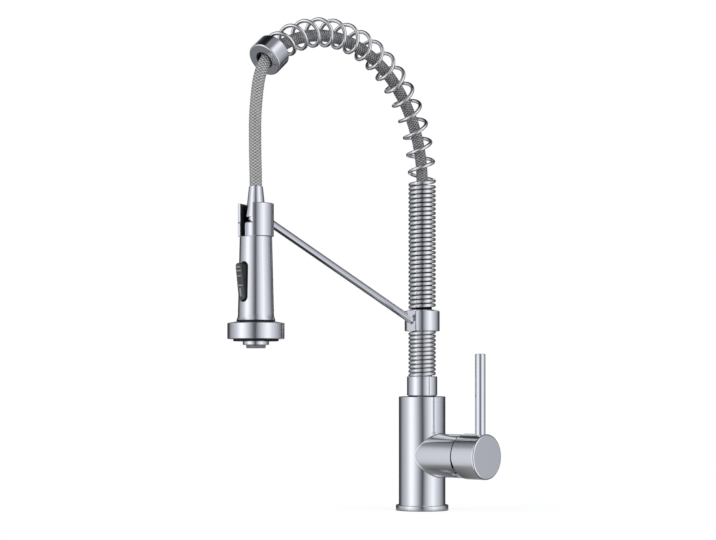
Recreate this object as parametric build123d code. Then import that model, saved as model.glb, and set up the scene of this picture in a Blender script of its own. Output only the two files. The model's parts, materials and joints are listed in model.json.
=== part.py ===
"""A deck-mounted spring faucet with a pull-down spray head, as separate pieces in millimetres.

Origin: centre of the base flange on the deck. +Z is up, the spout reaches towards -Y,
and the handle stands out along +X. Heights are measured from the deck, and those of the
hose connector, the spray head and what is in it from the dock's lower face.
"""
from build123d import *
import math
import os

# Clearances
SEAT = 0.05                 # between pieces that are fixed together
SLIP = 0.08                 # radial, of a journal that turns or slides
GAP = 0.3                   # between pieces that pass each other
TOUCH = 0.01                # how near a rim has to be to count as found

# Layout
reach = 222.5               # column axis to spray head axis
handle_height = 52.4        # deck to handle axis
body_top = 108.0
sleeve_height = 18.5
collar_low = 169.9
arch_base = 311.0           # where the column turns into the arch
arch_radius = 125.8
cap_angle = 50.3            # place of the end cap on the arch, in degrees above its far end

# Deck fixing
flange_radius = 25.0
flange_height = 5.2
flange_chamfer = 0.4
gasket_height = 1.5
gasket_border = 2.2         # metal left outside the gasket
shank_radius = 16.0
shank_bore = 13.0
shank_drop = 55.0           # length below the deck
shank_engagement = 14.8     # length inside the body
thread_pitch = 2.0
thread_depth = 0.9
deck_thickness = 30.0       # thickness of worktop that the nut is drawn up for
deck_washer_radius = 26.5
deck_washer_height = 3.0
clamp_washer_radius = 25.5
clamp_washer_height = 2.0
nut_flats = 42.0
nut_height = 9.0
inlet_radius = 4.5
inlet_depth = 12.0
inlet_spread = 6.8          # each inlet's distance from the middle
inlet_offset = -2.0         # the inlets' place along X

# Body
body_radius = 22.15
body_chamfer = 0.5
stub_radius = 20.5
stub_end = 51.2             # column axis to the stub's open end
stub_blend = 1.0
channel_radius = 3.0
feed_radius = 3.6           # of each way up from an inlet
outlet_radius = 6.0
drill_point = 0.8           # how far a drilled way runs past the one it meets

# Swivel on top of the body
post_radius = 10.0
post_thread_radius = 10.45
post_thread_length = 11.0
post_bore = 6.2
post_journal = 10.2
post_neck_radius = 8.0
post_neck_length = 3.6
seal_groove = 2.0
seal_depth = 1.5
seal_spacing = 4.1          # between the two seals on the post
clip_height = 1.1
clip_radius = 8.8
clip_bite = 0.77            # depth of the clip's groove
clip_opening = 6.0
swivel_washer_height = 0.55
swivel_washer_radius = 13.2
sleeve_radius = 14.4
sleeve_round = 1.0
sleeve_shoulder = 1.2

# Column
riser_radius = 9.4
riser_wall = 1.8
riser_setback = 5.0         # tube's end below the arch
bush_flange = 2.0
bush_length = 8.0
collar_radius = 16.65
collar_height = 20.3
collar_shoulder = 1.5       # height of the collar's sloping top
collar_shoulder_width = 3.4
collar_flat_depth = 0.75    # depth of the flat that the arm stands on
grub_radius = 2.5
grub_length = 6.0
grub_chamfer = 0.3
grub_socket = 1.4
grub_socket_depth = 3.3

# Springs
wire_radius = 1.75
coil_radius = 11.3          # to the middle of the wire
lower_turns = 10.61
lower_start = 200.0         # degrees, where the lower spring's wire begins
lower_grind = 1.2           # ground off each end of the lower spring, to seat it flat
tight_turns = 28.566
tight_pitch = 4.15
open_turns = 16.2
open_radius = 11.65         # of the open turns, which the arch spreads a little
opening_turns = 0.5         # turns over which they spread
coil_start = 156.7          # degrees, where the upper spring's wire begins
points_per_turn = 12

# End cap of the arch
cap_radius = 15.75
cap_length = 16.0
cap_front_wall = 3.0
cap_hole = 8.25
cap_round = 1.1
cap_pocket_room = 0.55      # room round the spring inside the cap
guide_height = 3.0
guide_bore = 7.4
guide_inset = 0.5           # its lip, back from the cap's front

# Hose
hose_radius = 5.3
hose_bore = 3.5
hose_leaves_arch = 54.0     # degrees above the arch's far end
tail_radius = 6.12
tail_bore = 2.4
tail_length = 22.5
tail_barb_length = 11.0

# Docking arm
arm_radius = 3.5
arm_slope = 0.431           # rise for each millimetre of reach
arm_foot = 10.1             # the arm's axis at the collar's face, above the collar's lower end
arm_depth = 3.5             # how far the arm goes into the collar
dock_radius = 15.55
dock_wall = 1.95
dock_arm_height = 13.74     # the arm's axis at the dock's wall, above the dock's lower face
dock_height = 28.6
dock_slot = 17.7
dock_round = 1.0
liner_bore = 10.75
liner_inset = 1.0           # lining set back from each end of the dock

# Hose connector and swivel
connector_top = 43.2
connector_low = 16.6
connector_top_radius = 6.05
connector_middle_radius = 7.75
connector_shoulder = 10.8   # from the cone's lower end to its change of slope
connector_low_radius = 9.2
connector_bore_depth = 19.0
connector_clearance = 0.2
spigot_radius = 6.0
spigot_length = 14.2
swivel_ring_radius = 7.2
swivel_ring_height = 2.5
spigot_seal_height = 4.0    # above the spigot's lower end
spigot_seal_depth = 1.2

# Spray head
neck_radius = 10.3
neck_top = 12.6
neck_round = 2.2
neck_skirt_radius = 9.0
neck_skirt = 11.0
dock_gap = 0.2              # between the dock and the head's top
shell_top_radius = 14.05
shell_round = 0.8
shell_wall = 1.3
shell_low_radius = 15.45
shell_taper_end = -59.2
flare_start = -65.6
flare_start_radius = 15.65
flare_middle_radius = 15.97
flare_middle = -70.0
shell_low = -72.7
shell_foot_radius = 17.0
core_radius = 12.2
core_foot_radius = 13.5
core_foot_height = 13.0
core_low = -83.6
waterway = 3.6
check_radius = 4.55
check_bore = 2.0
flange_seal_height = 1.3
spray_flange_radius = 24.8
spray_flange_low = -89.1
spray_flange_rim = -75.2    # height of the rim's upper edge
spray_flange_round = 0.8
spray_hub_radius = 17.4
chamber_radius = 18.0
chamber_top = -79.6
face_radius = 19.7
face_low = -91.0
face_thickness = 4.8
face_bore = 11.9
face_groove_inner = 13.4
face_groove_outer = 18.2
face_groove_depth = 0.6
jet_radius = 0.75
jet_count = 20
nozzle_radius = 11.4
nozzle_low = -94.3
nozzle_round = 0.7
nozzle_thread_radius = 11.0
nozzle_thread_length = 10.5
aerator_radius = 8.5
aerator_low = -97.1
aerator_length = 14.5
aerator_round = 0.8
aerator_hole = 0.75
aerator_hole_depth = 3.0
aerator_rings = ((1, 0.0), (6, 2.9), (12, 5.7))

# Spray button
button_height = -39.7       # height of the rocker's pivot
button_pivot_depth = 13.0   # head axis to the pivot
button_half_height = 16.0
button_half_width = 3.3
button_back_depth = 10.0
button_top_reach = 21.7
button_low_reach = 17.3
button_round = 1.2
bezel_clearance = 0.3
bezel_end_clearance = 0.7
bezel_rim = 0.9
bezel_proud = 0.35
button_pin_radius = 1.0
button_pocket_floor = 6.5   # head axis to the floor of the core's pocket
spool_radius = 2.5
spool_drop = 10.0           # below the pivot
spool_end = 3.0             # the spool's inner end, past the head's axis
spool_run = 1.0             # bore left past each end

# Cartridge, measured along X from the column axis
cartridge_seat = 16.0
cartridge_radius = 17.4
cartridge_bore_radius = 18.0
port_circle = 9.0
port_radius = 3.0
port_seal_radius = 4.2
port_seal_height = 1.0
base_thickness = 3.0
disc_thickness = 3.0
fixed_disc_radius = 13.0
moving_disc_radius = 11.6
moving_disc_thickness = 4.45
housing_bore = 13.6
housing_end = 41.0
housing_front_wall = 2.0
housing_mouth = 9.0
carrier_length = 10.9
carrier_slot_width = 8.6
carrier_slot_height = 13.0
pivot_x = 36.0
stem_pin_radius = 1.5
stem_ball_radius = 2.6
stem_ball_x = 26.8
stem_neck_radius = 1.9
stem_block_radius = 4.0
stem_block_end = 42.0
stem_radius = 5.0
stem_end = 64.0
nut_ring_length = 8.0
nut_ring_bore = 11.5
nut_ring_notch = 3.0
nut_ring_notches = 4

# Handle
hub_seam = 1.5              # gap between the stub and the hub
hub_radius = 21.25
hub_end = 79.2
hub_round = 1.8
hub_rim_round = 0.4
hub_wall = 3.4
hub_hollow = 5.3
hub_relief = 10.6           # degrees, room for the lever's tilt below the axis
lever_x = 70.6
lever_radius = 4.85
lever_root = 62.0
lever_top = 147.9
lever_round = 0.6
grub_x = 61.0

riser_top = arch_base - riser_setback
cap_pocket = open_radius + wire_radius + cap_pocket_room
collar_face = collar_radius - collar_flat_depth
dock_low = collar_low + arm_foot + (reach - dock_radius - collar_face) * arm_slope - dock_arm_height
head_top = -dock_gap

COLUMN = (0, 0, 0)
HEAD = (0, -reach, dock_low)


def turned(outline, axis=COLUMN):
    """A solid turned about an upright axis, from the (radius, height) corners of its section."""
    section = make_face(Polyline([(radius, 0, height) for radius, height in outline], close=True))
    return Pos(*axis) * revolve(section, Axis.Z)


def tube(outer, inner, low, high, axis=COLUMN):
    return turned([(inner, low), (outer, low), (outer, high), (inner, high)], axis)


def rod(radius, low, high, axis=COLUMN):
    return Pos(*axis) * Pos(0, 0, (low + high) / 2) * Cylinder(radius, high - low)


def rims(part, height, radius):
    """The round edges of one radius at one height."""
    return [
        edge
        for edge in part.edges().filter_by(GeomType.CIRCLE)
        if abs(edge.arc_center.Z - height) < TOUCH and abs(edge.radius - radius) < TOUCH
    ]


def sideways(part):
    """Lays a piece that was turned about Z along the handle's axis: height becomes X."""
    return Pos(0, 0, handle_height) * Rot(0, 90, 0) * part


def socket_screw(radius, length):
    """A headless screw along +Z from the origin, with a hexagon socket in its upper end."""
    body = chamfer(rims(rod(radius, 0, length), length, radius), grub_chamfer)
    hexagon = RegularPolygon(grub_socket, 6)
    return body - Pos(0, 0, length - grub_socket_depth) * extrude(hexagon, length)


def o_ring(groove_floor, groove_depth, height, axis=COLUMN):
    """A seal ring that fills a groove's depth, less a little room."""
    section = groove_depth / 2 - SEAT / 2
    return Pos(*axis) * Pos(0, 0, height) * Torus(groove_floor + groove_depth / 2, section)


# Deck fixing


def base_flange():
    recess = flange_radius - gasket_border
    bore = shank_radius + SEAT
    ring = turned([
        (bore, gasket_height), (recess, gasket_height), (recess, 0),
        (flange_radius, 0), (flange_radius, flange_height), (bore, flange_height),
    ])
    return chamfer(rims(ring, flange_height, flange_radius), flange_chamfer)


def deck_gasket():
    return tube(flange_radius - gasket_border - SEAT, shank_radius + 1, 0, gasket_height)


def mounting_shank():
    """A threaded tube, its thread drawn as rings. Both supply hoses pass through its bore."""
    top = flange_height + shank_engagement - SEAT
    outline = [(shank_bore, -shank_drop)]
    ridges = int(shank_drop / thread_pitch)
    for ridge in range(ridges):
        low = -shank_drop + ridge * thread_pitch
        outline += [(shank_radius - thread_depth, low), (shank_radius, low + thread_pitch / 2)]
    outline += [(shank_radius - thread_depth, -shank_drop + ridges * thread_pitch)]
    outline += [(shank_radius, 0), (shank_radius, top), (shank_bore, top)]
    return turned(outline)


def deck_washer():
    return tube(deck_washer_radius, shank_radius + GAP, -deck_thickness - deck_washer_height, -deck_thickness)


def clamp_washer():
    top = -deck_thickness - deck_washer_height
    return tube(clamp_washer_radius, shank_radius + GAP, top - clamp_washer_height, top)


def mounting_nut():
    top = -deck_thickness - deck_washer_height - clamp_washer_height
    corner = nut_flats / 2 / math.cos(math.pi / 6)
    hexagon = extrude(RegularPolygon(corner, 6), nut_height)
    crown = turned([
        (0, 0), (corner - thread_pitch, 0), (corner, thread_pitch / 2),
        (corner, nut_height - thread_pitch / 2), (corner - thread_pitch, nut_height), (0, nut_height),
    ])
    return Pos(0, 0, top - nut_height) * (hexagon & crown) - rod(shank_radius + SEAT, -shank_drop, 0)


# Body


def port_places():
    """The outlet, hot and cold ports on the cartridge's seat, as (y, height above the axis)."""
    angles = (90, 218, 322)
    return [
        (port_circle * math.cos(math.radians(angle)), port_circle * math.sin(math.radians(angle)))
        for angle in angles
    ]


def across(radius, y, height, start, end):
    """A round bar along X at a height above the handle's axis."""
    return Pos((start + end) / 2, y, handle_height + height) * Rot(0, 90, 0) * Cylinder(radius, end - start)


def faucet_body():
    pocket_top = flange_height + shank_engagement
    shell = rod(body_radius, flange_height, body_top)
    shell = chamfer(rims(shell, body_top, body_radius), body_chamfer)
    shell = shell + sideways(rod(stub_radius, 0, stub_end))
    joint = [edge for edge in shell.edges().filter_by(GeomType.BSPLINE)]
    shell = fillet(joint, stub_blend)
    shell -= rod(shank_radius + SEAT, 0, pocket_top)
    shell -= sideways(rod(cartridge_bore_radius, cartridge_seat, stub_end))
    outlet, hot, cold = port_places()
    for side, (y, height) in ((-inlet_spread, hot), (inlet_spread, cold)):
        level = handle_height + height
        shell -= rod(inlet_radius, pocket_top, pocket_top + inlet_depth, (inlet_offset, side))
        shell -= rod(feed_radius, pocket_top, level + channel_radius + drill_point, (inlet_offset, side))
        shell -= across(channel_radius, y, height, inlet_offset, cartridge_seat)
    shell -= across(channel_radius, outlet[0], outlet[1], 0, cartridge_seat)
    shell -= rod(outlet_radius, handle_height + outlet[1] - channel_radius - drill_point, body_top)
    return shell - rod(post_thread_radius + SEAT, body_top - post_thread_length, body_top)


# Swivel on top of the body

sleeve_low = body_top + swivel_washer_height + SEAT
sleeve_top = sleeve_low + sleeve_height
shoulder_low = body_top + post_journal + GAP
shoulder_top = shoulder_low + sleeve_shoulder
clip_low = shoulder_top + 2 * SEAT
post_top = body_top + post_journal + post_neck_length
riser_low = post_top + GAP


def seal_heights():
    middle = body_top + post_journal / 2
    return [middle - seal_spacing / 2, middle + seal_spacing / 2]


def swivel_post():
    thread_low = body_top - post_thread_length
    outline = [(post_bore, thread_low), (post_thread_radius, thread_low)]
    outline += [(post_thread_radius, body_top), (post_radius, body_top)]
    for height in seal_heights():
        low, high = height - seal_groove / 2, height + seal_groove / 2
        outline += [(post_radius, low), (post_radius - seal_depth, low)]
        outline += [(post_radius - seal_depth, high), (post_radius, high)]
    neck_low = body_top + post_journal
    groove_radius = post_neck_radius - clip_bite
    outline += [(post_radius, neck_low), (post_neck_radius, neck_low)]
    clip_high = clip_low + clip_height
    outline += [(post_neck_radius, clip_low - SEAT), (groove_radius, clip_low - SEAT)]
    outline += [(groove_radius, clip_high + SEAT), (post_neck_radius, clip_high + SEAT)]
    outline += [(post_neck_radius, post_top), (post_bore, post_top)]
    return turned(outline)


def post_seals():
    floor = post_radius - seal_depth
    return Compound([o_ring(floor, seal_depth, height).solid() for height in seal_heights()])


def swivel_washer():
    return tube(swivel_washer_radius, post_radius + GAP, body_top, body_top + swivel_washer_height)


def retaining_clip():
    inner = post_neck_radius - clip_bite + SEAT
    ring = tube(clip_radius, inner, clip_low, clip_low + clip_height)
    return ring - Pos(0, clip_radius, clip_low) * Box(clip_opening, 2 * clip_radius, 3 * clip_height)


def swivel_sleeve():
    cavity = clip_radius + GAP
    bore = post_radius + SLIP
    mouth = post_neck_radius + GAP
    socket = riser_radius + SEAT
    sleeve = turned([
        (bore, sleeve_low), (sleeve_radius, sleeve_low), (sleeve_radius, sleeve_top),
        (socket, sleeve_top), (socket, riser_low), (cavity, riser_low), (cavity, shoulder_top),
        (mouth, shoulder_top), (mouth, shoulder_low), (bore, shoulder_low),
    ])
    edges = rims(sleeve, sleeve_low, sleeve_radius) + rims(sleeve, sleeve_top, sleeve_radius)
    return fillet(edges, sleeve_round)


def hose_tail():
    """The fitting on the hose's lower end, which turns in the post with the spout."""
    low = post_top - tail_length
    barb = hose_bore - SEAT
    return turned([
        (tail_bore, low), (tail_radius, low), (tail_radius, post_top),
        (barb, post_top), (barb, post_top + tail_barb_length), (tail_bore, post_top + tail_barb_length),
    ])


# Column

collar_top = collar_low + collar_height


def riser_tube():
    return tube(riser_radius, riser_radius - riser_wall, riser_low, riser_top)


def riser_bush():
    inner = hose_radius + GAP
    fit = riser_radius - riser_wall - SEAT
    return turned([
        (inner, riser_top - bush_length), (fit, riser_top - bush_length), (fit, riser_top),
        (riser_radius, riser_top), (riser_radius, riser_top + bush_flange), (inner, riser_top + bush_flange),
    ])


def lower_spring():
    """The short spring under the collar, both its ends ground flat."""
    low = sleeve_top + wire_radius - lower_grind
    height = collar_low - wire_radius + lower_grind - low
    path = Pos(0, 0, low) * Rot(0, 0, lower_start) * Helix(height / lower_turns, height, coil_radius)
    start = Plane(origin=path @ 0, z_dir=path % 0)
    wire = sweep(start * Circle(wire_radius), path=path, is_frenet=True)
    return wire & rod(2 * coil_radius, sleeve_top + SEAT, collar_low - SEAT)


def arm_direction():
    return Vector(0, -1, arm_slope).normalized()


def arm_point(distance):
    """A point on the arm's axis, at a distance from the column axis."""
    return Vector(0, -distance, collar_low + arm_foot + (distance - collar_face) * arm_slope)


def arm_bar(radius, start, end):
    """A round bar on the arm's axis, between two distances from the column axis."""
    base = Plane(origin=arm_point(start), z_dir=arm_direction())
    length = (end - start) * math.sqrt(1 + arm_slope ** 2)
    return extrude(base * Circle(radius), length)


def arm_collar():
    bore = riser_radius + SEAT
    top_radius = collar_radius - collar_shoulder_width
    ring = turned([
        (bore, collar_low), (collar_radius, collar_low), (collar_radius, collar_top - collar_shoulder),
        (top_radius, collar_top), (bore, collar_top),
    ])
    ring = chamfer(rims(ring, collar_low, collar_radius), flange_chamfer)
    ring -= Pos(0, -collar_face - collar_radius, collar_low + collar_height / 2) * Box(
        2 * collar_radius, 2 * collar_radius, 2 * collar_height)
    ring -= arm_bar(arm_radius + SEAT, collar_face - arm_depth, 2 * collar_radius)
    screw_way = Rot(-90, 0, 0) * Pos(0, 0, (bore + collar_radius) / 2) * Cylinder(
        grub_radius + SEAT, collar_radius)
    return ring - Pos(0, 0, collar_low + collar_height / 2) * screw_way


def collar_grub_screw():
    screw = Pos(0, 0, riser_radius + SEAT) * socket_screw(grub_radius, grub_length)
    return Pos(0, 0, collar_low + collar_height / 2) * Rot(-90, 0, 0) * screw


# Arch


def arch_frame(angle):
    """The middle of the arch at an angle above its far end, with the directions out of and along it."""
    turn = math.radians(angle)
    outward = Vector(0, -math.cos(turn), math.sin(turn))
    middle = Vector(0, -arch_radius, arch_base) + outward * arch_radius
    return middle, outward, Vector(0, -math.sin(turn), -math.cos(turn))


def centre_line(distance):
    """A point of the spring's centre line and the direction out of the arch, from the spring's foot."""
    foot = collar_top + wire_radius
    straight = arch_base - foot
    if distance < straight:
        return Vector(0, 0, foot + distance), Vector(0, 1, 0)
    middle, outward, _ = arch_frame(180 - math.degrees((distance - straight) / arch_radius))
    return middle, outward


def upper_spring():
    """One wire: tight turns up the column, then open turns over the arch."""
    tight_length = tight_turns * tight_pitch
    foot = collar_top + wire_radius
    whole = arch_base - foot + math.radians(180 - cap_angle) * arch_radius
    open_pitch = (whole - tight_length) / open_turns
    points = []
    steps = round((tight_turns + open_turns) * points_per_turn)
    for step in range(steps + 1):
        turns = step * (tight_turns + open_turns) / steps
        distance = min(turns, tight_turns) * tight_pitch + max(turns - tight_turns, 0) * open_pitch
        middle, outward = centre_line(distance)
        spread = min(max(turns - tight_turns, 0) / opening_turns, 1)
        radius = coil_radius + (open_radius - coil_radius) * spread
        phase = math.radians(coil_start + 360 * turns)
        points.append(middle + Vector(1, 0, 0) * (radius * math.cos(phase))
                      + outward * (radius * math.sin(phase)))
    path = Spline(*points)
    return sweep(Plane(origin=path @ 0, z_dir=path % 0) * Circle(wire_radius), path=path, is_frenet=True)


def on_cap(part):
    """Places a piece that was turned about Z, its middle at height 0, where the end cap is."""
    middle, outward, along = arch_frame(cap_angle)
    return Plane(origin=middle, x_dir=Vector(1, 0, 0), z_dir=along) * part


def spring_end_cap():
    front, back = cap_length / 2, -cap_length / 2
    cap = turned([
        (cap_pocket, back), (cap_radius, back), (cap_radius, front),
        (cap_hole, front), (cap_hole, front - cap_front_wall), (cap_pocket, front - cap_front_wall),
    ])
    return on_cap(fillet(rims(cap, front, cap_radius) + rims(cap, back, cap_radius), cap_round))


def hose_guide():
    """A black bush behind the cap's front wall, its lip lining the hole."""
    front = cap_length / 2
    top = front - cap_front_wall
    return on_cap(turned([
        (guide_bore, top - guide_height), (cap_pocket - SEAT, top - guide_height),
        (cap_pocket - SEAT, top - SEAT), (cap_hole - SEAT, top - SEAT),
        (cap_hole - SEAT, front - guide_inset), (guide_bore, front - guide_inset),
    ]))


# Hose


def swept_hose(path):
    start = Plane(origin=path @ 0, z_dir=path % 0)
    return sweep(start * Circle(hose_radius), path=path) - sweep(start * Circle(hose_bore), path=path)


def riser_hose():
    """The hose inside the column and the arch, as far as the end cap."""
    foot = Vector(0, 0, post_top + SEAT)
    turn = Vector(0, 0, arch_base)
    middle = arch_frame((180 + hose_leaves_arch) / 2)[0]
    end = arch_frame(hose_leaves_arch)[0]
    return swept_hose(Wire([Line(foot, turn), ThreePointArc(turn, middle, end)]))


def spray_hose():
    """The hose's free end: one bend out of the end cap, then straight down into the connector."""
    start, _, along = arch_frame(hose_leaves_arch)
    start_slope = math.radians(90 - hose_leaves_arch)
    bend_radius = (reach + start.Y) / (1 - math.sin(start_slope))
    centre = start + Vector(0, math.sin(start_slope), -math.cos(start_slope)) * bend_radius
    half = (start_slope + math.pi / 2) / 2
    middle = centre + Vector(0, -math.sin(half), math.cos(half)) * bend_radius
    bottom = centre + Vector(0, -bend_radius, 0)
    end = Vector(0, -reach, dock_low + connector_top - connector_bore_depth + GAP)
    return swept_hose(Wire([ThreePointArc(start, middle, bottom), Line(bottom, end)]))


# Docking arm


def docking_arm():
    bar = arm_bar(arm_radius, collar_face - arm_depth + SEAT, reach - dock_radius + dock_wall)
    return bar - rod(dock_radius - dock_wall, -reach, reach, HEAD)


def dock_opening():
    front = Pos(0, -dock_radius, dock_height / 2)
    return Pos(*HEAD) * front * Box(dock_slot, 2 * dock_radius, 2 * dock_height)


def dock_ring():
    ring = tube(dock_radius, dock_radius - dock_wall, 0, dock_height)
    ring = Pos(*HEAD) * fillet(rims(ring, dock_height, dock_radius), dock_round)
    return ring - dock_opening() - arm_bar(arm_radius + SEAT, reach - 2 * dock_radius, reach)


def dock_liner():
    """The black lining that the head's neck seats in."""
    outer = dock_radius - dock_wall - SEAT
    return tube(outer, liner_bore, liner_inset, dock_height - liner_inset, HEAD) - dock_opening()


# Hose connector and swivel

spigot_low = connector_low - spigot_length


def hose_connector():
    bore = hose_radius + connector_clearance
    floor = connector_top - connector_bore_depth
    seal_low = spigot_low + spigot_seal_height - seal_groove / 2
    seal_floor = spigot_radius - spigot_seal_depth
    return turned([
        (tail_bore, spigot_low), (spigot_radius, spigot_low),
        (spigot_radius, seal_low), (seal_floor, seal_low),
        (seal_floor, seal_low + seal_groove), (spigot_radius, seal_low + seal_groove),
        (spigot_radius, connector_low), (connector_low_radius, connector_low),
        (connector_middle_radius, connector_low + connector_shoulder),
        (connector_top_radius, connector_top),
        (bore, connector_top), (bore, floor), (tail_bore, floor),
    ], HEAD)


def swivel_ring():
    high = connector_low - GAP
    return tube(swivel_ring_radius, spigot_radius + SEAT, high - swivel_ring_height, high, HEAD)


def spigot_seal():
    height = spigot_low + spigot_seal_height
    return o_ring(spigot_radius - spigot_seal_depth, spigot_seal_depth, height, HEAD)


# Spray head


def head_neck():
    skirt_low = head_top - neck_skirt
    neck = turned([
        (check_radius + SEAT, skirt_low), (neck_skirt_radius, skirt_low), (neck_skirt_radius, head_top),
        (neck_radius, head_top), (neck_radius, neck_top), (spigot_radius + SLIP, neck_top),
        (spigot_radius + SLIP, spigot_low - GAP), (check_radius + SEAT, spigot_low - GAP),
    ])
    return Pos(*HEAD) * fillet(rims(neck, neck_top, neck_radius), neck_round)


def shell_section(grow):
    """The head's side from the top to its flared foot, moved outwards by a distance."""
    top = (shell_top_radius + grow, 0, head_top)
    taper_end = (shell_low_radius + grow, 0, shell_taper_end)
    flare_top = (flare_start_radius + grow, 0, flare_start)
    flare = (flare_middle_radius + grow, 0, flare_middle)
    foot = (shell_foot_radius + grow, 0, shell_low)
    return [Line(top, taper_end), Line(taper_end, flare_top), ThreePointArc(flare_top, flare, foot)]


def head_solid(grow, inner):
    """The head's form as a ring, from a bore out to its side."""
    side = shell_section(grow)
    closing = Polyline((shell_foot_radius + grow, 0, shell_low), (inner, 0, shell_low),
                       (inner, 0, head_top), (shell_top_radius + grow, 0, head_top))
    section = make_face(Wire(side + list(closing.edges())))
    return revolve(section, Axis.Z)


def slot_prism(half_width, half_height, front, back):
    """An upright round-ended prism through the head's front, between two depths from its axis."""
    outline = Plane(origin=(0, -front, button_height), x_dir=(1, 0, 0), z_dir=(0, 1, 0))
    slot = SlotOverall(2 * half_height, 2 * half_width, rotation=90)
    return extrude(outline * slot, front - back)


def bezel_half_width():
    return button_half_width + bezel_clearance + bezel_rim


def bezel_half_height():
    return button_half_height + bezel_end_clearance + bezel_rim


def head_shell():
    """A thin shell, open below, with the button's slot in its front and a collar round the neck."""
    hollow_top = head_top - shell_wall
    shell = head_solid(0, neck_skirt_radius + SEAT)
    shell = fillet([edge for edge in shell.edges().filter_by(GeomType.CIRCLE)
                    if abs(edge.arc_center.Z - head_top) < TOUCH and edge.radius > neck_radius], shell_round)
    hollow = head_solid(-shell_wall, neck_skirt_radius)
    shell -= hollow & rod(2 * shell_foot_radius, shell_low, hollow_top)
    shell -= slot_prism(bezel_half_width() + SEAT, bezel_half_height() + SEAT, 2 * shell_foot_radius, 0)
    return Pos(*HEAD) * shell


def pin_through(radius, half_length):
    pivot = Pos(0, -button_pivot_depth, button_height)
    return pivot * Rot(0, 90, 0) * Cylinder(radius, 2 * half_length)


def spool_bar(radius, front, back):
    middle = Pos(0, -(front + back) / 2, button_height - spool_drop)
    return middle * Rot(90, 0, 0) * Cylinder(radius, front - back)


def head_core():
    """The moulded waterway inside the shell, with the rocker's pocket and the spool's bore."""
    top = head_top - shell_wall - GAP
    foot_top = core_low + core_foot_height
    socket_low = head_top - neck_skirt
    core = turned([
        (nozzle_thread_radius + SEAT, core_low), (core_foot_radius, core_low), (core_foot_radius, foot_top),
        (core_radius, foot_top), (core_radius, top), (neck_skirt_radius + SEAT, top),
        (neck_skirt_radius + SEAT, socket_low), (waterway, socket_low),
        (waterway, core_low + face_thickness), (nozzle_thread_radius + SEAT, core_low + face_thickness),
    ])
    core -= slot_prism(bezel_half_width(), bezel_half_height(), 2 * core_radius, button_pocket_floor)
    core -= spool_bar(spool_radius + SLIP, button_pocket_floor + spool_run, -spool_end - spool_run)
    return Pos(*HEAD) * core


def check_valve():
    low = head_top - neck_skirt
    return tube(check_radius, check_bore, low + GAP, spigot_low - GAP - 1, HEAD)


flange_seal_low = shell_low - flange_seal_height


def flange_seal():
    return tube(spray_hub_radius - 0.6, core_foot_radius + SEAT, flange_seal_low, shell_low, HEAD)


def spray_flange():
    bore = core_foot_radius + SEAT
    ring = turned([
        (bore, flange_seal_low), (spray_hub_radius, flange_seal_low),
        (spray_flange_radius, spray_flange_rim), (spray_flange_radius, spray_flange_low),
        (face_radius + SEAT, spray_flange_low), (face_radius + SEAT, face_low + face_thickness),
        (chamber_radius, face_low + face_thickness), (chamber_radius, chamber_top), (bore, chamber_top),
    ])
    edges = rims(ring, spray_flange_rim, spray_flange_radius)
    edges += rims(ring, spray_flange_low, spray_flange_radius)
    return Pos(*HEAD) * fillet(edges, spray_flange_round)


def spray_face():
    """The soft black face, with a ring of jets set in a groove."""
    groove_top = face_low + face_groove_depth
    face = turned([
        (face_bore, face_low), (face_groove_inner, face_low), (face_groove_inner, groove_top),
        (face_groove_outer, groove_top), (face_groove_outer, face_low), (face_radius, face_low),
        (face_radius, face_low + face_thickness), (face_bore, face_low + face_thickness),
    ])
    circle = (face_groove_inner + face_groove_outer) / 2
    for place in PolarLocations(circle, round(jet_count)):
        face += place * rod(jet_radius, face_low, groove_top)
    return Pos(*HEAD) * face


def aerator_housing():
    shoulder = face_low - 2 * SEAT
    inner = aerator_radius + SEAT
    housing = turned([
        (inner, nozzle_low), (nozzle_radius, nozzle_low), (nozzle_radius, shoulder),
        (nozzle_thread_radius, shoulder), (nozzle_thread_radius, shoulder + nozzle_thread_length),
        (inner, shoulder + nozzle_thread_length),
    ])
    return Pos(*HEAD) * fillet(rims(housing, nozzle_low, nozzle_radius), nozzle_round)


def aerator_insert():
    insert = rod(aerator_radius, aerator_low, aerator_low + aerator_length)
    insert = fillet(rims(insert, aerator_low, aerator_radius), aerator_round)
    for count, circle in aerator_rings:
        for place in PolarLocations(circle, count):
            insert -= place * rod(aerator_hole, aerator_low, aerator_low + aerator_hole_depth)
    return Pos(*HEAD) * insert


# Spray button


def button_bezel():
    """The black frame in the shell's slot, which follows the shell's side."""
    front = 2 * shell_foot_radius
    rim = slot_prism(bezel_half_width(), bezel_half_height(), front, core_radius + GAP)
    rim -= slot_prism(bezel_half_width() - bezel_rim, bezel_half_height() - bezel_rim, front, 0)
    rim -= pin_through(button_pin_radius + SEAT, 2 * bezel_half_width())
    return Pos(*HEAD) * (rim & head_solid(bezel_proud, core_radius))


def rocker_button():
    """The rocker, its face sloping from a proud upper end to a nearly flush lower end."""
    low, high = button_height - button_half_height, button_height + button_half_height
    side = Polyline([
        (0, -button_back_depth, low), (0, -button_low_reach, low),
        (0, -button_top_reach, high - button_round), (0, -button_top_reach + button_round, high),
        (0, -button_back_depth, high),
    ], close=True)
    slab = extrude(make_face(side), button_half_width + 1, both=True)
    block = slab & slot_prism(button_half_width, button_half_height, 2 * button_top_reach, 0)
    return Pos(*HEAD) * (block - pin_through(button_pin_radius + SLIP, 2 * button_half_width))


def button_pin():
    return Pos(*HEAD) * pin_through(button_pin_radius, bezel_half_width() - GAP)


def diverter_spool():
    return Pos(*HEAD) * spool_bar(spool_radius, button_back_depth - GAP, -spool_end)


# Cartridge

base_low = cartridge_seat + port_seal_height
fixed_low = base_low + base_thickness
moving_low = fixed_low + disc_thickness + SEAT
carrier_low = moving_low + moving_disc_thickness + GAP


def at_ports(make):
    """One piece made for each port, laid along the handle's axis."""
    return [Pos(-height, y, 0) * make for y, height in port_places()]


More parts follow.
